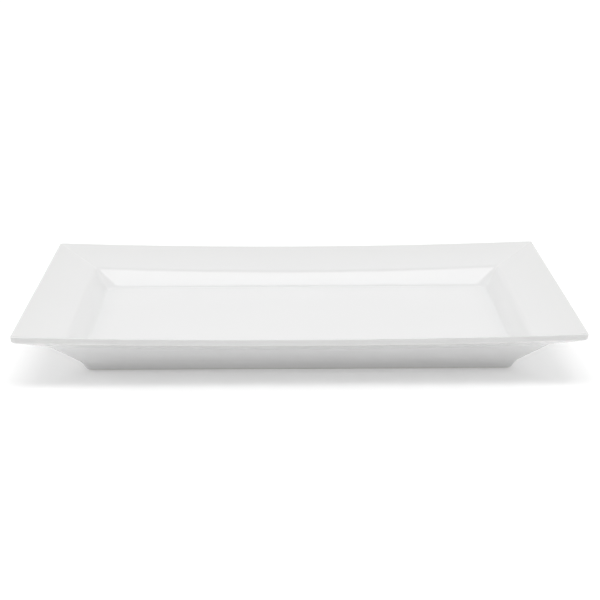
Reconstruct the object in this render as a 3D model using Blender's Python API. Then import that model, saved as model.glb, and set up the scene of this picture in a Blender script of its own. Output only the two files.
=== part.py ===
"""Rectangular porcelain serving platter with a wide sloping rim, a sunken well and a foot ring.

The fired body carries two coats of glaze. One runs over the well, the rim and the underside down to
the foot ring. The other lines the recess inside the foot ring. The ring's bearing face is left bare,
which is what parts the two coats.

Units are metres and +Z is up. The origin is on the table, under the middle of the platter. The long
side lies along X. Every section is drawn from its inset, the distance in from the rim's outer edge.
"""

from collections import namedtuple
from math import atan2, copysign, cos, pi, sin, tan

import bmesh
import bpy
from mathutils import Vector

# Overall size
LENGTH = 0.381
WIDTH = 0.254
HEIGHT = 0.0384  # of the rim's corners above the table, before the lip is rounded

# Rim, seen from above
RIM_RUN = 0.0317  # from the outer edge in to the crease at the top of the well
RIM_FALL = 0.0128  # from the outer edge down to the crease
RIM_EDGE = 0.0045  # thickness of the outer edge
EDGE_LEAN = 0.0004  # how far the edge's lower side stands in from its upper side
SIDE_SAG = 0.0031  # how much lower a long side is at its middle than at its ends
SIDE_DRAW = 0.0013  # how much further in a long side is at its middle than at its ends

# Well
WALL_RUN = 0.01045  # from the crease in to the edge of the floor
FLOOR_LEVEL = 0.0125
BASE_THICKNESS = 0.005

# Underside
BACK_LEAD = 0.010  # how far the bend behind the rim stands out from the crease
BACK_THICKNESS = 0.0052  # of the rim above that bend
KNEE_LEAD = 0.0016  # how far the knee above the foot stands out from the edge of the floor
KNEE_LEVEL = 0.0071
FOOT_TAPER = 0.0040  # how far the foot's outer wall leans in below the knee
FOOT_WIDTH = 0.006
RECESS_LEAN = 0.003  # how far the recess's wall leans in on its way up

# Corner radii, seen from above
RIM_CORNER = 0.0026
CREASE_CORNER = 0.0018
FLOOR_CORNER = 0.010
BACK_CORNER = 0.0025
FOOT_CORNER = 0.0025

# Length of wall that each rounded bend of the section takes up on either side
FLOOR_BEND = 0.0020
CREASE_BEND = 0.0025
LIP_BEND = 0.0013
EDGE_BEND = 0.0015
BACK_BEND = 0.0018
KNEE_BEND = 0.0022
FOOT_BEND = 0.0006
RECESS_BEND = 0.002
LEAST_BEND = 0.0001

# Glaze
GLAZE = 0.0004
GLAZE_CLEARANCE = 0.0003  # between the glaze's mesh and the body's
BARE_BAND = 0.0012  # height of foot ring left bare above the table

# Fineness of the facets
BEND_STEPS = 2
CORNER_STEPS = 4
LONG_SIDE_STEPS = 8
FLAT_MARGIN = 0.02  # width of the flat that a section draws at the floor and at the recess's roof

Bend = namedtuple("Bend", "inset height corner sag cut")


def floor_inset():
    return RIM_RUN + WALL_RUN


def knee_inset():
    return floor_inset() - KNEE_LEAD


def foot_inset():
    return knee_inset() + FOOT_TAPER


def recess_inset():
    return foot_inset() + FOOT_WIDTH


def rim_height(inset):
    """Height of the rim's upper face, at the platter's ends."""
    return HEIGHT - RIM_FALL * inset / RIM_RUN


def upper_bends():
    """Section of the glazed face, from the floor of the well out over the rim and down to the knee."""
    back_inset = RIM_RUN - BACK_LEAD
    back_height = rim_height(back_inset) - BACK_THICKNESS
    return [
        Bend(floor_inset() + FLAT_MARGIN, FLOOR_LEVEL, FLOOR_CORNER, 0, 0),
        Bend(floor_inset(), FLOOR_LEVEL, FLOOR_CORNER, 0, FLOOR_BEND),
        Bend(RIM_RUN, rim_height(RIM_RUN), CREASE_CORNER, 1, CREASE_BEND),
        Bend(0, HEIGHT, RIM_CORNER, 1, LIP_BEND),
        Bend(EDGE_LEAN, HEIGHT - RIM_EDGE, RIM_CORNER, 1, EDGE_BEND),
        Bend(back_inset, back_height, BACK_CORNER, 1, BACK_BEND),
        Bend(knee_inset(), KNEE_LEVEL, FOOT_CORNER, 0, KNEE_BEND),
    ]


def foot_bends():
    """The two edges of the bearing face."""
    return [
        Bend(foot_inset(), 0, FOOT_CORNER, 0, FOOT_BEND),
        Bend(recess_inset(), 0, FOOT_CORNER, 0, FOOT_BEND),
    ]


def recess_bends():
    """Section of the recess, from the top of its wall in to its roof."""
    roof_level = FLOOR_LEVEL - BASE_THICKNESS
    roof_inset = recess_inset() + RECESS_LEAN
    return [
        Bend(roof_inset, roof_level, FOOT_CORNER, 0, RECESS_BEND),
        Bend(roof_inset + FLAT_MARGIN, roof_level, FOOT_CORNER, 0, 0),
    ]


def at_height(lower, upper, height):
    """The point on the straight wall between two bends that is at a height above the table."""
    share = (height - lower.height) / (upper.height - lower.height)
    inset = lower.inset + (upper.inset - lower.inset) * share
    return Bend(inset, height, lower.corner, lower.sag, 0)


def direction(start, end):
    return Vector((end.inset - start.inset, end.height - start.height)).normalized()


def inward(heading):
    """The normal that points into the body. Sections run with the body on their left."""
    return Vector((-heading.y, heading.x))


def moved_corner(bend, before, after, shift_before, shift_after):
    """A bend, moved to where its two walls meet once each is shifted into the body."""
    turn = before.x * after.y - before.y * after.x
    normal_before = inward(before)
    normal_after = inward(after)
    inset = (shift_before * normal_after.y - shift_after * normal_before.y) / turn
    height = (shift_after * normal_before.x - shift_before * normal_after.x) / turn
    angle = atan2(turn, before.dot(after))
    cut = bend.cut - (shift_before + shift_after) / 2 * tan(angle / 2)
    return bend._replace(
        inset=bend.inset + inset,
        height=bend.height + height,
        cut=max(cut, LEAST_BEND),
    )


def shifted(bends, shifts):
    """A section with each wall moved into the body. There is one shift for each wall."""
    headings = [direction(*pair) for pair in zip(bends, bends[1:])]
    first = bends[0]
    last = bends[-1]
    push_first = inward(headings[0]) * shifts[0]
    push_last = inward(headings[-1]) * shifts[-1]
    moved = [first._replace(inset=first.inset + push_first.x, height=first.height + push_first.y)]
    for place in range(1, len(bends) - 1):
        walls = headings[place - 1], headings[place]
        moved.append(moved_corner(bends[place], *walls, shifts[place - 1], shifts[place]))
    moved.append(last._replace(inset=last.inset + push_last.x, height=last.height + push_last.y))
    return moved


def section_point(bend):
    return Vector((bend.inset, bend.height, bend.corner, bend.sag))


def toward(bend, neighbour):
    """The point on the wall to a neighbour where a bend begins."""
    start = section_point(bend)
    wall = Vector((neighbour.inset - bend.inset, neighbour.height - bend.height)).length
    return start.lerp(section_point(neighbour), bend.cut / wall)


def rounded(bends):
    """A section's points, with each bend between two walls eased into a curve."""
    points = [section_point(bends[0])]
    for before, bend, after in zip(bends, bends[1:], bends[2:]):
        enter = toward(bend, before)
        middle = section_point(bend)
        leave = toward(bend, after)
        for step in range(BEND_STEPS + 1):
            share = step / BEND_STEPS
            points.append(enter.lerp(middle, share).lerp(middle.lerp(leave, share), share))
    points.append(section_point(bends[-1]))
    return points


def quarter_arc(centre_x, centre_y, radius, quarter):
    for step in range(CORNER_STEPS + 1):
        angle = (quarter + step / CORNER_STEPS) * pi / 2
        yield centre_x + radius * cos(angle), centre_y + radius * sin(angle)


def ring_outline(inset, corner):
    """A rectangle with rounded corners, seen from above, with extra points along its long sides."""
    reach_x = LENGTH / 2 - inset - corner
    reach_y = WIDTH / 2 - inset - corner
    outline = []
    for quarter, side_x, side_y in ((0, 1, 1), (1, -1, 1), (2, -1, -1), (3, 1, -1)):
        outline += quarter_arc(side_x * reach_x, side_y * reach_y, corner, quarter)
        if quarter % 2 == 0:
            for step in range(1, LONG_SIDE_STEPS):
                along = side_x * reach_x * (1 - 2 * step / LONG_SIDE_STEPS)
                outline.append((along, side_y * (reach_y + corner)))
    return outline


def ring(point):
    """The points of one ring around the platter, let down and drawn in along the long sides."""
    inset, height, corner, sag = point
    half_length = LENGTH / 2 - inset
    for x, y in ring_outline(inset, corner):
        slack = sag * (1 - (x / half_length) ** 2)
        yield x, y - copysign(SIDE_DRAW * slack, y), height - SIDE_SAG * slack


def join(work, first, second):
    """Fills the band between two rings. Every skin splits its bands the same way, so that two skins
    that follow each other stay clear where the sag twists them."""
    for place in range(len(first)):
        following = (place + 1) % len(first)
        work.faces.new((first[place], first[following], second[following]))
        work.faces.new((first[place], second[following], second[place]))


def add_skin(work, points):
    """One ring for each point of a section, each joined to the next."""
    rings = [[work.verts.new(place) for place in ring(point)] for point in points]
    for first, second in zip(rings, rings[1:]):
        join(work, first, second)
    return rings


def finished_mesh(name, work):
    bmesh.ops.recalc_face_normals(work, faces=work.faces)
    mesh = bpy.data.meshes.new(name)
    work.to_mesh(mesh)
    work.free()
    mesh.shade_smooth()
    mesh.set_sharp_from_angle(angle=pi / 6)
    return mesh


def solid_mesh(name, section):
    """A solid whose section runs from the middle of its top to the middle of its underside."""
    work = bmesh.new()
    rings = add_skin(work, section)
    work.faces.new(rings[0])
    work.faces.new(rings[-1])
    return finished_mesh(name, work)


def coat_mesh(name, face, back):
    """A coat between two sections, each running from the platter's middle out to the coat's hem."""
    work = bmesh.new()
    face_rings = add_skin(work, face)
    back_rings = add_skin(work, back)
    work.faces.new(face_rings[0])
    work.faces.new(back_rings[0])
    join(work, face_rings[-1], back_rings[-1])
    return finished_mesh(name, work)


def material(name, color, roughness):
    made = bpy.data.materials.new(name)
    made.use_nodes = True
    shader = made.node_tree.nodes["Principled BSDF"]
    shader.inputs["Base Color"].default_value = (*color, 1)
    shader.inputs["Roughness"].default_value = roughness
    shader.inputs["Metallic"].default_value = 0
    return made


def add_part(mesh, look):
    mesh.materials.append(look)
    part = bpy.data.objects.new(mesh.name, mesh)
    bpy.context.scene.collection.objects.link(part)
    return part


def add_body():
    """The fired body. It lies under the glaze everywhere but on the foot ring's bearing face."""
    bends = upper_bends() + foot_bends() + recess_bends()
    shifts = [GLAZE + GLAZE_CLEARANCE] * (len(bends) - 1)
    bearing_face = len(upper_bends())
    shifts[bearing_face] = 0
    look = material("bare_porcelain", (0.86, 0.84, 0.80), 0.75)
    return add_part(solid_mesh("porcelain_body", rounded(shifted(bends, shifts))), look)


def coat_sections(bends):
    """The outer face of a coat of glaze, and its back."""
    back = shifted(bends, [GLAZE] * (len(bends) - 1))
    return rounded(bends), rounded(back)


def add_glaze_coat():
    """The glaze over the well, the rim and the underside, down to the bare band of the foot ring."""
    upper = upper_bends()
    outer_edge = foot_bends()[0]
    hem = at_height(outer_edge, upper[-1], BARE_BAND)
    face, back = coat_sections(upper + [hem])
    look = material("white_glaze", (0.93, 0.93, 0.93), 0.08)
    return add_part(coat_mesh("glaze_coat", face, back), look)


def add_base_glaze():
    """The glaze inside the foot ring, on the recess's wall and roof."""
    recess = recess_bends()
    inner_edge = foot_bends()[1]
    hem = at_height(inner_edge, recess[0], BARE_BAND)
    face, back = coat_sections([hem] + recess)
    look = material("base_white_glaze", (0.92, 0.92, 0.92), 0.10)
    return add_part(coat_mesh("base_glaze", face[::-1], back[::-1]), look)


def clear_scene():
    for found in list(bpy.data.objects):
        bpy.data.objects.remove(found)


def main():
    clear_scene()
    add_body()
    add_glaze_coat()
    add_base_glaze()


main()
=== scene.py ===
from collections import namedtuple
from math import atan2, copysign, cos, pi, sin, tan

import bmesh
import bpy
import numpy as np
from bpy.props import FloatProperty, FloatVectorProperty, IntProperty, PointerProperty
from bpy.types import Operator, Panel, PropertyGroup
from mathutils import Matrix, Vector


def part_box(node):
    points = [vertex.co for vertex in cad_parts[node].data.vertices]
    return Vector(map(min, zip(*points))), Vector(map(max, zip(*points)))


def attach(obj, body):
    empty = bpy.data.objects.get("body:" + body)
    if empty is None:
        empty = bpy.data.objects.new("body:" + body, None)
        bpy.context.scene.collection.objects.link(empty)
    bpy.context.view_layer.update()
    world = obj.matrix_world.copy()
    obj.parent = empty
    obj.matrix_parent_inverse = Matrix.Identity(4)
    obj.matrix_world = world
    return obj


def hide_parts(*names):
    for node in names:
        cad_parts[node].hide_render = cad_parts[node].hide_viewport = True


bl_info = {
    "name": "Porcelain platter",
    "version": (1, 0, 0),
    "blender": (4, 5, 0),
    "location": "3D View > Sidebar > Platter",
    "description": "Builds a glazed rectangular serving platter on a plain studio stage",
    "category": "Add Mesh",
}

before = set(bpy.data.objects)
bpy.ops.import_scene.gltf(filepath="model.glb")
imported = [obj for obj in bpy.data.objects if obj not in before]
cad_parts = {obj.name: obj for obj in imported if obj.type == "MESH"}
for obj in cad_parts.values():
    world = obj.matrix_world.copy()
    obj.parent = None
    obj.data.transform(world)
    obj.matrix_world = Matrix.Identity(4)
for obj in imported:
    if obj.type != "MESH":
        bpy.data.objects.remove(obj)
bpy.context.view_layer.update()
COAT_LOW, COAT_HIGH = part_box("glaze_coat")

ROOT = "root"
EDGE_DROP = 0.0001  # what the rounding of the lip takes off each side of the rim's outline
LIP_DROP = 0.00034  # what it takes off the rim's height

# One wall of the section meets the next at a bend. The walls run from the middle of the platter's top
# out over the rim and back under it to the middle of the underside, with the body on their left.
# - inset and height: the bend's place, in from the rim's outer edge and up from the table
# - corner: the radius of the platter's corners there, seen from above
# - sag: 1 where the long sides sag and 0 where they are straight
# - pool and thin: how far the glaze has pooled in the bend or drawn thin over it
# - cut: the length of wall that its rounding takes up on either side
Bend = namedtuple("Bend", "inset height corner sag pool thin cut")
FREE_END = 0.0  # the cut of a section's end, which isn't rounded

# Sockets of a Mix node that is set to mix colours
MIX_SHARE = 0
MIX_FIRST = 6
MIX_SECOND = 7
MIX_RESULT = 2

# Finish of the glaze
GLASS_IOR = 1.5
POOL_SHARPNESS = 2.5  # the higher, the closer the pooled tint keeps to its bend
THIN_SHARPNESS = 1.5
WIPE_SIZE = 0.045  # length of a wiping mark
SPECK_SHARE = 0.14  # share of the cells that hold a speck
SPECK_RADIUS = 0.022  # as a share of the cells' spacing

# Finish of the bare porcelain
RUB_SIZE = 0.012  # size of a rubbed patch
GRAIN_LIGHTEST = 1.04
GRAIN_SHADE = 0.14  # how much darker the grain's darkest spots are
GRAIN_ROUGHNESS = 0.12  # roughness that the grain adds

WHITE = (1.0, 1.0, 1.0, 1.0)
FLOOR_ROUGHNESS = 0.9
SENSOR_WIDTH = 36.0  # in millimetres

# How narrowly each light keeps to its own direction
FRONT_SPREAD = 2.0
SIDE_SPREAD = 3.0
HIGH_SIDE_SPREAD = 6.0
HIGH_SIDE_REACH = 0.7  # weight of the sideways and of the upward direction in the high side lights
LEAST_DISTANCE = 0.01  # keeps the softbox's shape finite level with the platter
BOX_HORIZON = 0.02  # the softbox is left out below this


class ShapeSettings(PropertyGroup):
    """Sizes of the platter. Insets are measured in from the rim's outer edge."""

    length: FloatProperty(
        name="Length",
        description="Length of the rim before its edge is rounded",
        default=COAT_HIGH.x - COAT_LOW.x + 2 * EDGE_DROP,
        unit="LENGTH",
        precision=5,
    )
    width: FloatProperty(
        name="Width",
        description="Width of the rim before its edge is rounded",
        default=COAT_HIGH.y - COAT_LOW.y + 2 * EDGE_DROP,
        unit="LENGTH",
        precision=5,
    )
    height: FloatProperty(
        name="Height",
        description="Height of the rim's corners before the lip is rounded",
        default=COAT_HIGH.z + LIP_DROP,
        unit="LENGTH",
        precision=5,
    )
    rim_run: FloatProperty(
        name="Rim run",
        description="From the outer edge in to the crease at the top of the well",
        default=0.0317,
        unit="LENGTH",
        precision=5,
    )
    rim_fall: FloatProperty(
        name="Rim fall",
        description="From the outer edge down to the crease",
        default=0.0128,
        unit="LENGTH",
        precision=5,
    )
    rim_edge: FloatProperty(
        name="Rim edge",
        description="Thickness of the outer edge",
        default=0.0045,
        unit="LENGTH",
        precision=5,
    )
    edge_lean: FloatProperty(
        name="Edge lean",
        description="How far the edge's lower side stands in from its upper side",
        default=0.0004,
        unit="LENGTH",
        precision=5,
    )
    side_sag: FloatProperty(
        name="Side sag",
        description="How much lower a long side is at its middle than at its ends",
        default=0.0031,
        unit="LENGTH",
        precision=5,
    )
    side_draw: FloatProperty(
        name="Side draw",
        description="How much further in a long side is at its middle than at its ends",
        default=0.0013,
        unit="LENGTH",
        precision=5,
    )
    wall_run: FloatProperty(
        name="Wall run",
        description="From the crease in to the edge of the well's floor",
        default=0.01045,
        unit="LENGTH",
        precision=5,
    )
    floor_level: FloatProperty(
        name="Floor level",
        description="Height of the well's floor above the table",
        default=0.0125,
        unit="LENGTH",
        precision=5,
    )
    roof_level: FloatProperty(
        name="Recess roof level",
        description="Height of the roof of the recess inside the foot ring",
        default=0.0075,
        unit="LENGTH",
        precision=5,
    )
    back_lead: FloatProperty(
        name="Back lead",
        description="How far the bend behind the rim stands out from the crease",
        default=0.010,
        unit="LENGTH",
        precision=5,
    )
    back_thickness: FloatProperty(
        name="Back thickness",
        description="Thickness of the rim above the bend behind it",
        default=0.0052,
        unit="LENGTH",
        precision=5,
    )
    knee_lead: FloatProperty(
        name="Knee lead",
        description="How far the knee above the foot stands out from the edge of the floor",
        default=0.0016,
        unit="LENGTH",
        precision=5,
    )
    knee_level: FloatProperty(
        name="Knee level",
        description="Height of the knee above the table",
        default=0.0071,
        unit="LENGTH",
        precision=5,
    )
    foot_taper: FloatProperty(
        name="Foot taper",
        description="How far the foot's outer wall leans in below the knee",
        default=0.004,
        unit="LENGTH",
        precision=5,
    )
    foot_width: FloatProperty(
        name="Foot width",
        description="Width of the foot ring at the table",
        default=0.006,
        unit="LENGTH",
        precision=5,
    )
    recess_lean: FloatProperty(
        name="Recess lean",
        description="How far the recess's wall leans in on its way up",
        default=0.003,
        unit="LENGTH",
        precision=5,
    )
    glaze: FloatProperty(
        name="Glaze",
        description="Thickness of the glaze",
        default=0.0004,
        unit="LENGTH",
        precision=5,
    )
    bond: FloatProperty(
        name="Bond",
        description="Hairline kept between the glaze and the body under it",
        default=0.00002,
        unit="LENGTH",
        precision=6,
    )
    bare_band: FloatProperty(
        name="Bare band",
        description="Height of foot ring left bare above the table",
        default=COAT_LOW.z,
        unit="LENGTH",
        precision=5,
    )
    bend_steps: IntProperty(
        name="Bend steps",
        description="Facets in each rounded bend of the section",
        default=10,
        min=2,
    )
    corner_steps: IntProperty(
        name="Corner steps",
        description="Facets in each rounded corner, seen from above",
        default=12,
        min=2,
    )
    long_side_steps: IntProperty(
        name="Long side steps",
        description="Facets along a long side",
        default=48,
        min=2,
    )
    short_side_steps: IntProperty(
        name="Short side steps",
        description="Facets along a short side",
        default=30,
        min=1,
    )


class GlazeSettings(PropertyGroup):
    """Look of the white glaze."""

    color: FloatVectorProperty(
        name="Glaze",
        description="Glaze of even thickness over the white body",
        default=(0.83, 0.83, 0.83),
        subtype="COLOR",
        min=0,
        max=1,
    )
    pool_color: FloatVectorProperty(
        name="Pooled glaze",
        description="Glaze that has run thick in a hollow bend",
        default=(0.81, 0.815, 0.815),
        subtype="COLOR",
        min=0,
        max=1,
    )
    thin_color: FloatVectorProperty(
        name="Thin glaze",
        description="Glaze that has drawn thin over a sharp edge",
        default=(0.79, 0.79, 0.785),
        subtype="COLOR",
        min=0,
        max=1,
    )
    mottle: FloatProperty(
        name="Mottle",
        description="How much the white varies from place to place",
        default=0.012,
        min=0,
        max=1,
        subtype="FACTOR",
    )
    mottle_size: FloatProperty(
        name="Mottle size",
        description="Size of the soft variations in the white",
        default=0.06,
        unit="LENGTH",
    )
    speck: FloatProperty(
        name="Speck",
        description="How dark the faint specks under the glaze are",
        default=0.06,
        min=0,
        max=1,
        subtype="FACTOR",
    )
    speck_spacing: FloatProperty(
        name="Speck spacing",
        description="Spacing of the cells that may each hold one speck",
        default=0.009,
        unit="LENGTH",
    )
    roughness: FloatProperty(
        name="Roughness",
        description="Roughness of the clean glaze",
        default=0.05,
        min=0,
        max=1,
        subtype="FACTOR",
    )
    smear: FloatProperty(
        name="Smear",
        description="Roughness that faint wiping marks add",
        default=0.035,
        min=0,
        max=1,
        subtype="FACTOR",
    )
    ripple_depth: FloatProperty(
        name="Ripple depth",
        description="Depth of the slow waves in the glaze's surface",
        default=0.000012,
        unit="LENGTH",
        precision=6,
    )
    ripple_size: FloatProperty(
        name="Ripple size",
        description="Length of the slow waves in the glaze's surface",
        default=0.035,
        unit="LENGTH",
    )
    peel_depth: FloatProperty(
        name="Peel depth",
        description="Depth of the fine orange peel in the glaze's surface",
        default=0.0000006,
        unit="LENGTH",
        precision=6,
    )
    peel_size: FloatProperty(
        name="Peel size",
        description="Size of the fine orange peel in the glaze's surface",
        default=0.0025,
        unit="LENGTH",
    )


class BareSettings(PropertyGroup):
    """Look of the bare porcelain on the foot ring."""

    color: FloatVectorProperty(
        name="Bare porcelain",
        description="Fired body where no glaze covers it",
        default=(0.82, 0.81, 0.79),
        subtype="COLOR",
        min=0,
        max=1,
    )
    worn_color: FloatVectorProperty(
        name="Rubbed porcelain",
        description="Body greyed by standing on shelves and on other dishes",
        default=(0.74, 0.73, 0.71),
        subtype="COLOR",
        min=0,
        max=1,
    )
    grain_size: FloatProperty(
        name="Grain size",
        description="Size of the body's grain",
        default=0.0005,
        unit="LENGTH",
        precision=5,
    )
    grain_depth: FloatProperty(
        name="Grain depth",
        description="Depth of the body's grain",
        default=0.00003,
        unit="LENGTH",
        precision=6,
    )
    roughness: FloatProperty(
        name="Roughness",
        description="Roughness of the bare body",
        default=0.78,
        min=0,
        max=1,
        subtype="FACTOR",
    )


class StudioSettings(PropertyGroup):
    """The floor, the lights and the camera."""

    floor_side: FloatProperty(
        name="Floor side",
        description="Side of the square floor",
        default=80.0,
        unit="LENGTH",
    )
    floor_gap: FloatProperty(
        name="Floor gap",
        description="Hairline kept between the foot ring and the floor",
        default=0.0001,
        unit="LENGTH",
        precision=5,
    )
    floor_color: FloatVectorProperty(
        name="Floor",
        description="Colour of the floor",
        default=(0.8, 0.8, 0.8),
        subtype="COLOR",
        min=0,
        max=1,
    )
    floor_glow: FloatProperty(
        name="Floor glow",
        description="Light that the translucent white floor passes from below",
        default=0.22,
        min=0,
    )
    surround: FloatProperty(
        name="Surround",
        description="Even light from the white walls and ceiling, fading out behind the camera",
        default=0.711,
        min=0,
    )
    sides: FloatProperty(
        name="Sides",
        description="Extra light from the softboxes at the left and the right, behind the platter",
        default=0.35,
        min=0,
    )
    high_sides: FloatProperty(
        name="High sides",
        description="Extra light from high up at the left and the right",
        default=0.29,
        min=0,
    )
    below: FloatProperty(
        name="Below",
        description="Light from under the floor, which only an underside view sees",
        default=0.6,
        min=0,
    )
    box_light: FloatProperty(
        name="Box light",
        description="Brightness of the overhead softbox",
        default=4.18,
        min=0,
    )
    box_lean: FloatProperty(
        name="Box lean",
        description="How far the overhead softbox stands toward the camera from straight above",
        default=18 * pi / 180,
        subtype="ANGLE",
    )
    box_length: FloatProperty(
        name="Box length",
        description="Half the softbox's length, as a share of its distance",
        default=0.35,
        min=0,
    )
    box_width: FloatProperty(
        name="Box width",
        description="Half the softbox's width, as a share of its distance",
        default=0.17,
        min=0,
    )
    box_feather: FloatProperty(
        name="Box feather",
        description="Width of the softbox's soft edge, as a share of its distance",
        default=0.05,
        min=0.001,
    )
    camera_place: FloatVectorProperty(
        name="Camera place",
        description="Where the camera stands",
        default=(-0.0115, -1.1297, 0.3526),
        subtype="TRANSLATION",
        unit="LENGTH",
    )
    camera_pitch: FloatProperty(
        name="Camera pitch",
        description="How far the camera looks down",
        default=16.13 * pi / 180,
        subtype="ANGLE",
    )
    camera_yaw: FloatProperty(
        name="Camera yaw",
        description="How far the camera turns, anticlockwise from above",
        default=-0.66 * pi / 180,
        subtype="ANGLE",
    )
    camera_roll: FloatProperty(
        name="Camera roll",
        description="How far the camera leans to its right",
        default=0.107 * pi / 180,
        subtype="ANGLE",
    )
    camera_lens: FloatProperty(
        name="Camera lens",
        description="Focal length in millimetres, on a sensor 36 mm wide",
        default=96.0,
        min=1,
    )


class Wire:
    """A socket in a node tree. Arithmetic on it adds Math nodes, so shader maths reads as Python."""

    def __init__(self, tree, socket=None):
        self.tree = tree
        self.socket = socket

    def feed(self, target, value):
        """Links a wire to an input socket, or sets a plain value on it."""
        if isinstance(value, Wire):
            self.tree.links.new(value.socket, target)
        else:
            target.default_value = value

    def node(self, kind, settings=None, inputs=None, output=0):
        """Adds any node. Its settings are set first, and then its inputs, by name or by place."""
        made = self.tree.nodes.new(kind)
        for name, value in (settings or {}).items():
            setattr(made, name, value)
        for name, value in (inputs or {}).items():
            self.feed(made.inputs[name], value)
        return Wire(self.tree, made.outputs[output])

    def math(self, operation, *values):
        return self.node("ShaderNodeMath", {"operation": operation}, dict(enumerate(values)))

    def __add__(self, other):
        return self.math("ADD", self, other)

    def __sub__(self, other):
        return self.math("SUBTRACT", self, other)

    def __rsub__(self, other):
        return self.math("SUBTRACT", other, self)

    def __mul__(self, other):
        return self.math("MULTIPLY", self, other)

    def __truediv__(self, other):
        return self.math("DIVIDE", self, other)

    def __neg__(self):
        return self.math("MULTIPLY", self, -1.0)

    def __abs__(self):
        return self.math("ABSOLUTE", self)

    def __pow__(self, other):
        return self.math("POWER", self, other)

    def __lt__(self, other):
        return self.math("LESS_THAN", self, other)

    def __gt__(self, other):
        return self.math("GREATER_THAN", self, other)

    def positive(self):
        return self.math("MAXIMUM", self, 0.0)

    __radd__ = __add__
    __rmul__ = __mul__

    def mix(self, low, high):
        """Goes from one colour to another as this value goes from 0 to 1."""
        inputs = {MIX_SHARE: self, MIX_FIRST: low, MIX_SECOND: high}
        return self.node("ShaderNodeMix", {"data_type": "RGBA"}, inputs, MIX_RESULT)

    def tint(self, color):
        """Multiplies a colour by this one."""
        settings = {"data_type": "RGBA", "blend_type": "MULTIPLY"}
        inputs = {MIX_SHARE: 1.0, MIX_FIRST: color, MIX_SECOND: self}
        return self.node("ShaderNodeMix", settings, inputs, MIX_RESULT)


def opaque(color):
    return (*color, 1.0)


def new_material(name):
    """An empty material with a Principled shader, its tree wrapped for shader maths."""
    made = bpy.data.materials.new(name)
    made.use_nodes = True
    return made, Wire(made.node_tree), made.node_tree.nodes["Principled BSDF"]


def noise(wire, place, size, detail=2.0, spread=0.5):
    """Soft noise from 0 to 1, with features of a size in metres."""
    inputs = {"Vector": place, "Scale": 1 / size, "Detail": detail, "Roughness": spread}
    return wire.node("ShaderNodeTexNoise", inputs=inputs)


def attribute(wire, name):
    """A value stored on the mesh, from 0 to 1."""
    settings = {"attribute_type": "GEOMETRY", "attribute_name": name}
    return wire.node("ShaderNodeAttribute", settings, output="Fac")


def specks(wire, place, spacing):
    """1 inside a few tiny dots, and 0 elsewhere. Most cells hold none."""
    inputs = {"Vector": place, "Scale": 1 / spacing}
    distance = wire.node("ShaderNodeTexVoronoi", inputs=inputs)
    cell = wire.node("ShaderNodeTexVoronoi", inputs=inputs, output="Color")
    red = wire.node("ShaderNodeSeparateColor", inputs={"Color": cell})
    return (distance < SPECK_RADIUS) * (red < SPECK_SHARE)


def glaze_material(name, look):
    """White glaze: a clear glossy face over a white body, a touch cooler where it pools, a touch
    warmer where it is thin, and never quite flat."""
    made, wire, shader = new_material(name)
    place = wire.node("ShaderNodeTexCoord", output="Object")
    pooled = attribute(wire, "pool") ** POOL_SHARPNESS
    thin = attribute(wire, "thin") ** THIN_SHARPNESS
    cloud = noise(wire, place, look.mottle_size)
    even = pooled.mix(opaque(look.color), opaque(look.pool_color))
    drawn = thin.mix(even, opaque(look.thin_color))
    shade = (1 - cloud * look.mottle) * (1 - specks(wire, place, look.speck_spacing) * look.speck)
    grey = wire.node("ShaderNodeCombineColor", inputs={0: shade, 1: shade, 2: shade})
    wire.feed(shader.inputs["Base Color"], grey.tint(drawn))
    wiped = noise(wire, place, WIPE_SIZE, detail=4.0, spread=0.6)
    wire.feed(shader.inputs["Roughness"], look.roughness + wiped * look.smear)
    shader.inputs["IOR"].default_value = GLASS_IOR
    ripple = noise(wire, place, look.ripple_size, detail=1.0) * look.ripple_depth
    peel = noise(wire, place, look.peel_size, detail=1.0) * look.peel_depth
    bump = wire.node("ShaderNodeBump", inputs={"Height": ripple + peel, "Distance": 1.0})
    wire.feed(shader.inputs["Normal"], bump)
    return made


def bare_material(name, look):
    """Unglazed porcelain: dry, fine-grained and off-white, greyed where it has rubbed."""
    made, wire, shader = new_material(name)
    place = wire.node("ShaderNodeTexCoord", output="Object")
    grain = noise(wire, place, look.grain_size, detail=3.0)
    rubbed = noise(wire, place, RUB_SIZE, detail=3.0) * attribute(wire, "thin")
    stained = rubbed.mix(opaque(look.color), opaque(look.worn_color))
    shade = GRAIN_LIGHTEST - grain * GRAIN_SHADE
    grey = wire.node("ShaderNodeCombineColor", inputs={0: shade, 1: shade, 2: shade})
    wire.feed(shader.inputs["Base Color"], grey.tint(stained))
    wire.feed(shader.inputs["Roughness"], look.roughness + grain * GRAIN_ROUGHNESS)
    height = grain * look.grain_depth
    bump = wire.node("ShaderNodeBump", inputs={"Height": height, "Distance": 1.0})
    wire.feed(shader.inputs["Normal"], bump)
    return made


def floor_material(look):
    """Matt white floor that glows a little, as a lit white table does."""
    made, _, shader = new_material("studio_floor")
    shader.inputs["Base Color"].default_value = opaque(look.floor_color)
    shader.inputs["Roughness"].default_value = FLOOR_ROUGHNESS
    shader.inputs["Specular IOR Level"].default_value = 0.0
    shader.inputs["Emission Color"].default_value = WHITE
    shader.inputs["Emission Strength"].default_value = look.floor_glow
    return made


# Lengths of wall that each rounded bend takes up on either side
FLOOR_BEND = 0.0020
CREASE_BEND = 0.0025
LIP_BEND = 0.0013
EDGE_BEND = 0.0015
BACK_BEND = 0.0018
KNEE_BEND = 0.0022
FOOT_BEND = 0.0006
RECESS_BEND = 0.002
LEAST_BEND = 0.00005

# Corner radii, seen from above
RIM_CORNER = 0.0026
CREASE_CORNER = 0.0018
FLOOR_CORNER = 0.010
BACK_CORNER = 0.0025
FOOT_CORNER = 0.0025

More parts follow.
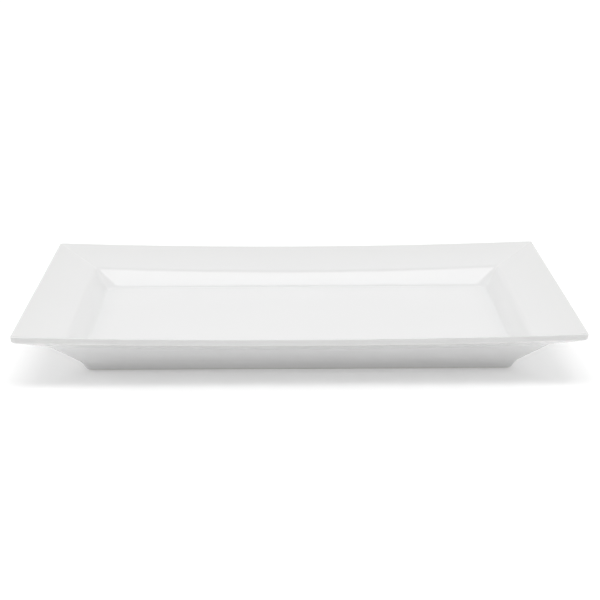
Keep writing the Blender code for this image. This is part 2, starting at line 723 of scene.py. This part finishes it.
FLAT_MARGIN = 0.02  # width of the flat that a section draws at the floor and at the recess's roof
WALL_SHARES = (0.03, 0.2, 0.4, 0.6, 0.8, 0.97)  # where a wall's own rings lie between two bends
HEM_STEPS = 5


def upper_bends(size):
    """Section of the glazed face, from the floor of the well out over the rim and down to the knee."""
    floor_inset = size.rim_run + size.wall_run
    back_inset = size.rim_run - size.back_lead
    back_fall = size.rim_fall * back_inset / size.rim_run
    back_height = size.height - back_fall - size.back_thickness
    margin = floor_inset + FLAT_MARGIN
    lower_lip = size.height - size.rim_edge
    crease_height = size.height - size.rim_fall
    knee_inset = floor_inset - size.knee_lead
    return [
        Bend(margin, size.floor_level, FLOOR_CORNER, 0, 0, 0, FREE_END),
        Bend(floor_inset, size.floor_level, FLOOR_CORNER, 0, 1, 0, FLOOR_BEND),
        Bend(size.rim_run, crease_height, CREASE_CORNER, 1, 0, 0.4, CREASE_BEND),
        Bend(0, size.height, RIM_CORNER, 1, 0, 1, LIP_BEND),
        Bend(size.edge_lean, lower_lip, RIM_CORNER, 1, 0, 1, EDGE_BEND),
        Bend(back_inset, back_height, BACK_CORNER, 1, 0.8, 0, BACK_BEND),
        Bend(knee_inset, size.knee_level, FOOT_CORNER, 0, 0, 0.3, KNEE_BEND),
    ]


def foot_bends(size):
    """The two edges of the bearing face."""
    outer = size.rim_run + size.wall_run - size.knee_lead + size.foot_taper
    inner = outer + size.foot_width
    return [
        Bend(outer, 0, FOOT_CORNER, 0, 0, 1, FOOT_BEND),
        Bend(inner, 0, FOOT_CORNER, 0, 0, 1, FOOT_BEND),
    ]


def recess_bends(size):
    """Section of the recess, from the top of its wall in to its roof."""
    roof_inset = foot_bends(size)[1].inset + size.recess_lean
    margin = roof_inset + FLAT_MARGIN
    return [
        Bend(roof_inset, size.roof_level, FOOT_CORNER, 0, 1, 0, RECESS_BEND),
        Bend(margin, size.roof_level, FOOT_CORNER, 0, 0, 0, FREE_END),
    ]


def at_height(lower, upper, height):
    """The point on the straight wall between two bends that is at a height above the table."""
    share = (height - lower.height) / (upper.height - lower.height)
    inset = lower.inset + (upper.inset - lower.inset) * share
    return lower._replace(inset=inset, height=height, cut=FREE_END)


def heading(start, end):
    return Vector((end.inset - start.inset, end.height - start.height)).normalized()


def inward(direction):
    """The normal that points into the body."""
    return Vector((-direction.y, direction.x))


def pushed(bend, direction, depth):
    """A section's free end, moved straight into the body."""
    push = inward(direction) * depth
    return bend._replace(inset=bend.inset + push.x, height=bend.height + push.y)


def moved_corner(bend, before, after, depth_before, depth_after):
    """A bend, moved to where its two walls meet once each is shifted into the body."""
    turn = before.x * after.y - before.y * after.x
    normal_before = inward(before)
    normal_after = inward(after)
    inset = (depth_before * normal_after.y - depth_after * normal_before.y) / turn
    height = (depth_after * normal_before.x - depth_before * normal_after.x) / turn
    angle = atan2(turn, before.dot(after))
    cut = bend.cut - (depth_before + depth_after) / 2 * tan(angle / 2)
    return bend._replace(
        inset=bend.inset + inset,
        height=bend.height + height,
        cut=max(cut, LEAST_BEND),
    )


def shifted(bends, depths):
    """A section with each wall moved into the body. There is one depth for each wall."""
    directions = [heading(*pair) for pair in zip(bends, bends[1:])]
    moved = [pushed(bends[0], directions[0], depths[0])]
    for place in range(1, len(bends) - 1):
        walls = directions[place - 1], directions[place]
        moved.append(moved_corner(bends[place], *walls, depths[place - 1], depths[place]))
    moved.append(pushed(bends[-1], directions[-1], depths[-1]))
    return moved


def section_point(bend):
    """A bend as an array of all that it holds but its cut."""
    return np.array(bend[:-1], float)


def between(start, end, share):
    return start + (end - start) * share


def toward(bend, neighbour):
    """The point on the wall to a neighbour where a bend begins."""
    start = section_point(bend)
    end = section_point(neighbour)
    wall = np.hypot(*(end - start)[:2])
    return between(start, end, bend.cut / wall)


def wall_points(start, end):
    """A few rings along a straight wall. The two nearest its ends keep its shading flat."""
    return [between(start, end, share) for share in WALL_SHARES]


def bend_points(enter, middle, leave, steps):
    """The curve that eases one wall into the next."""
    shares = [step / steps for step in range(steps + 1)]
    return [between(between(enter, middle, s), between(middle, leave, s), s) for s in shares]


def rounded(bends, steps):
    """A section's points, with each bend between two walls eased into a curve."""
    points = [section_point(bends[0])]
    for before, bend, after in zip(bends, bends[1:], bends[2:]):
        enter = toward(bend, before)
        leave = toward(bend, after)
        points += wall_points(points[-1], enter)
        points += bend_points(enter, section_point(bend), leave, steps)
    last = section_point(bends[-1])
    points += wall_points(points[-1], last)
    return points + [last]


def hem_points(face_end, back_end, direction):
    """The rounded hem of a coat, from its face round to its back."""
    middle = (face_end + back_end) / 2
    half = (face_end - back_end) / 2
    reach = np.zeros_like(middle)
    reach[:2] = np.array(direction) * np.hypot(*half[:2])
    turns = [pi * step / HEM_STEPS for step in range(1, HEM_STEPS)]
    return [middle + half * cos(turn) + reach * sin(turn) for turn in turns]


def quarter_arc(centre_x, centre_y, radius, quarter, steps):
    for step in range(steps + 1):
        angle = (quarter + step / steps) * pi / 2
        yield centre_x + radius * cos(angle), centre_y + radius * sin(angle)


def ring_outline(size, inset, corner):
    """A rectangle with rounded corners, seen from above, with extra points along its sides."""
    reach_x = size.length / 2 - inset - corner
    reach_y = size.width / 2 - inset - corner
    outline = []
    for quarter, side_x, side_y in ((0, 1, 1), (1, -1, 1), (2, -1, -1), (3, 1, -1)):
        outline += quarter_arc(side_x * reach_x, side_y * reach_y, corner, quarter, size.corner_steps)
        if quarter % 2 == 0:
            for step in range(1, size.long_side_steps):
                along = side_x * reach_x * (1 - 2 * step / size.long_side_steps)
                outline.append((along, side_y * (reach_y + corner)))
        else:
            for step in range(1, size.short_side_steps):
                along = side_y * reach_y * (1 - 2 * step / size.short_side_steps)
                outline.append((side_x * (reach_x + corner), along))
    return outline


def ring(size, point):
    """The points of one ring around the platter, let down and drawn in along the long sides."""
    inset, height, corner, sag = point[:4]
    half_length = size.length / 2 - inset
    for x, y in ring_outline(size, inset, corner):
        slack = sag * (1 - (x / half_length) ** 2)
        yield x, y - copysign(size.side_draw * slack, y), height - size.side_sag * slack


def piece_from_section(name, size, points):
    """A piece made of one ring for each point of its section, with its two ends filled flat."""
    work = bmesh.new()
    pool = work.verts.layers.float.new("pool")
    thin = work.verts.layers.float.new("thin")
    rings = []
    for point in points:
        rings.append([work.verts.new(place) for place in ring(size, point)])
        for vertex in rings[-1]:
            vertex[pool] = point[4]
            vertex[thin] = point[5]
    for first, second in zip(rings, rings[1:]):
        for place in range(len(first)):
            after = (place + 1) % len(first)
            work.faces.new((first[place], first[after], second[after], second[place]))
    work.faces.new(rings[0])
    work.faces.new(rings[-1])
    bmesh.ops.recalc_face_normals(work, faces=work.faces)
    mesh = bpy.data.meshes.new(name)
    work.to_mesh(mesh)
    work.free()
    mesh.shade_smooth()
    piece = bpy.data.objects.new(name, mesh)
    bpy.context.scene.collection.objects.link(piece)
    return piece


def coat_section(size, bends, hem_first=False):
    """A coat's section: out along its face from the platter's middle, round its hem and home along
    its back."""
    back = shifted(bends, [size.glaze] * (len(bends) - 1))
    face_points = rounded(bends, size.bend_steps)
    back_points = rounded(back, size.bend_steps)
    direction = heading(bends[-2], bends[-1])
    if hem_first:
        direction = heading(bends[1], bends[0])
        face_points.reverse()
        back_points.reverse()
    hem = hem_points(face_points[-1], back_points[-1], direction)
    return face_points + hem + back_points[::-1]


def finish_piece(piece, material, node):
    piece.data.materials.append(material)
    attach(piece, ROOT)
    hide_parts(node)


class PLATTER_OT_glaze_coat(Operator):
    """Makes the glaze over the well, the rim and the underside, down to the bare foot ring"""

    bl_idname = "platter.glaze_coat"
    bl_label = "Glaze coat"

    def execute(self, context):
        size = context.scene.platter_shape
        upper = upper_bends(size)
        hem = at_height(foot_bends(size)[0], upper[-1], size.bare_band)
        section = coat_section(size, upper + [hem])
        piece = piece_from_section("glaze_coat_fine", size, section)
        material = glaze_material("white_glaze", context.scene.platter_glaze)
        finish_piece(piece, material, "glaze_coat")
        return {"FINISHED"}


class PLATTER_OT_base_glaze(Operator):
    """Makes the glaze inside the foot ring, on the recess's wall and roof"""

    bl_idname = "platter.base_glaze"
    bl_label = "Base glaze"

    def execute(self, context):
        size = context.scene.platter_shape
        recess = recess_bends(size)
        hem = at_height(foot_bends(size)[1], recess[0], size.bare_band)
        section = coat_section(size, [hem] + recess, hem_first=True)
        piece = piece_from_section("base_glaze_fine", size, section)
        material = glaze_material("base_white_glaze", context.scene.platter_glaze)
        finish_piece(piece, material, "base_glaze")
        return {"FINISHED"}


class PLATTER_OT_body(Operator):
    """Makes the fired body, which shows only where the foot ring is bare"""

    bl_idname = "platter.body"
    bl_label = "Porcelain body"

    def execute(self, context):
        size = context.scene.platter_shape
        upper = upper_bends(size)
        bends = upper + foot_bends(size) + recess_bends(size)
        depths = [size.glaze + size.bond] * (len(bends) - 1)
        depths[len(upper)] = 0
        section = rounded(shifted(bends, depths), size.bend_steps)
        piece = piece_from_section("porcelain_body_fine", size, section)
        material = bare_material("bare_porcelain", context.scene.platter_bare)
        finish_piece(piece, material, "porcelain_body")
        return {"FINISHED"}


class PLATTER_OT_stage(Operator):
    """Sets the white floor, the soft lights and the camera"""

    bl_idname = "platter.stage"
    bl_label = "Stage"

    def execute(self, context):
        look = context.scene.platter_studio
        add_floor(look)
        add_dome(context.scene, look)
        add_camera(context.scene, look)
        context.scene.view_settings.view_transform = "Standard"
        return {"FINISHED"}


def add_floor(look):
    work = bmesh.new()
    bmesh.ops.create_grid(work, x_segments=8, y_segments=8, size=look.floor_side / 2)
    mesh = bpy.data.meshes.new("studio_floor")
    work.to_mesh(mesh)
    work.free()
    mesh.materials.append(floor_material(look))
    floor = bpy.data.objects.new("studio_floor", mesh)
    floor.location.z = -look.floor_gap
    bpy.context.scene.collection.objects.link(floor)


def within(wire, value, edge, feather):
    """1 where a value lies within an edge on either side of 0, fading to 0 across a feather."""
    inputs = {
        "Value": abs(value),
        "From Min": edge,
        "From Max": edge + feather,
        "To Min": 1.0,
        "To Max": 0.0,
    }
    return wire.node("ShaderNodeMapRange", {"interpolation_type": "SMOOTHSTEP"}, inputs)


def softbox_share(wire, x, y, z, look):
    """1 in the directions that the overhead softbox fills, and 0 elsewhere."""
    ahead = z * cos(look.box_lean) - y * sin(look.box_lean)
    across = y * cos(look.box_lean) + z * sin(look.box_lean)
    distance = ahead.math("MAXIMUM", ahead, LEAST_DISTANCE)
    long_share = within(wire, x / distance, look.box_length, look.box_feather)
    wide_share = within(wire, across / distance, look.box_width, look.box_feather)
    return long_share * wide_share * (ahead > BOX_HORIZON)


def add_dome(scene, look):
    """Soft light from all round: a white room that is dim behind the camera, with a softbox overhead."""
    world = bpy.data.worlds.new("studio_dome")
    world.use_nodes = True
    wire = Wire(world.node_tree)
    direction = wire.node("ShaderNodeTexCoord", output="Generated")
    split = {"Vector": direction}
    x, y, z = [wire.node("ShaderNodeSeparateXYZ", inputs=split, output=axis) for axis in "XYZ"]
    frontal = (-y).positive() ** FRONT_SPREAD
    room = look.surround * (1 - frontal)
    room = room + look.sides * abs(x) ** SIDE_SPREAD * (1 + y)
    outward = abs(x) * HIGH_SIDE_REACH + z * HIGH_SIDE_REACH
    room = room + look.high_sides * outward.positive() ** HIGH_SIDE_SPREAD * (1 - frontal)
    room = room + look.box_light * softbox_share(wire, x, y, z, look)
    upper = z > 0.0
    light = upper * room + (1 - upper) * look.below
    background = world.node_tree.nodes["Background"]
    background.inputs["Color"].default_value = WHITE
    wire.feed(background.inputs["Strength"], light)
    scene.world = world


def add_camera(scene, look):
    data = bpy.data.cameras.new("camera")
    data.sensor_width = SENSOR_WIDTH
    data.lens = look.camera_lens
    camera = bpy.data.objects.new("camera", data)
    turn = Matrix.Rotation(look.camera_yaw, 4, "Z")
    tilt = Matrix.Rotation(pi / 2 - look.camera_pitch, 4, "X")
    lean = Matrix.Rotation(-look.camera_roll, 4, "Z")
    camera.matrix_world = Matrix.Translation(look.camera_place) @ turn @ tilt @ lean
    scene.collection.objects.link(camera)
    scene.camera = camera


class PLATTER_PT_build(Panel):
    """Lists the platter's pieces, its stage and their settings"""

    bl_label = "Porcelain platter"
    bl_idname = "PLATTER_PT_build"
    bl_space_type = "VIEW_3D"
    bl_region_type = "UI"
    bl_category = "Platter"

    def draw(self, context):
        for operator in OPERATORS:
            self.layout.operator(operator.bl_idname)
        for name, kind in SETTINGS.items():
            box = self.layout.box()
            box.label(text=kind.__doc__)
            for key in kind.__annotations__:
                box.prop(getattr(context.scene, name), key)


SETTINGS = {
    "platter_shape": ShapeSettings,
    "platter_glaze": GlazeSettings,
    "platter_bare": BareSettings,
    "platter_studio": StudioSettings,
}
OPERATORS = (
    PLATTER_OT_body,
    PLATTER_OT_glaze_coat,
    PLATTER_OT_base_glaze,
    PLATTER_OT_stage,
)


def register():
    for kind in (*SETTINGS.values(), *OPERATORS, PLATTER_PT_build):
        bpy.utils.register_class(kind)
    for name, kind in SETTINGS.items():
        setattr(bpy.types.Scene, name, PointerProperty(type=kind))


def unregister():
    for name in SETTINGS:
        delattr(bpy.types.Scene, name)
    for kind in (PLATTER_PT_build, *reversed(OPERATORS), *SETTINGS.values()):
        bpy.utils.unregister_class(kind)


def main():
    register()
    bpy.ops.platter.body()
    bpy.ops.platter.glaze_coat()
    bpy.ops.platter.base_glaze()
    bpy.ops.platter.stage()


if __name__ == "__main__":
    main()
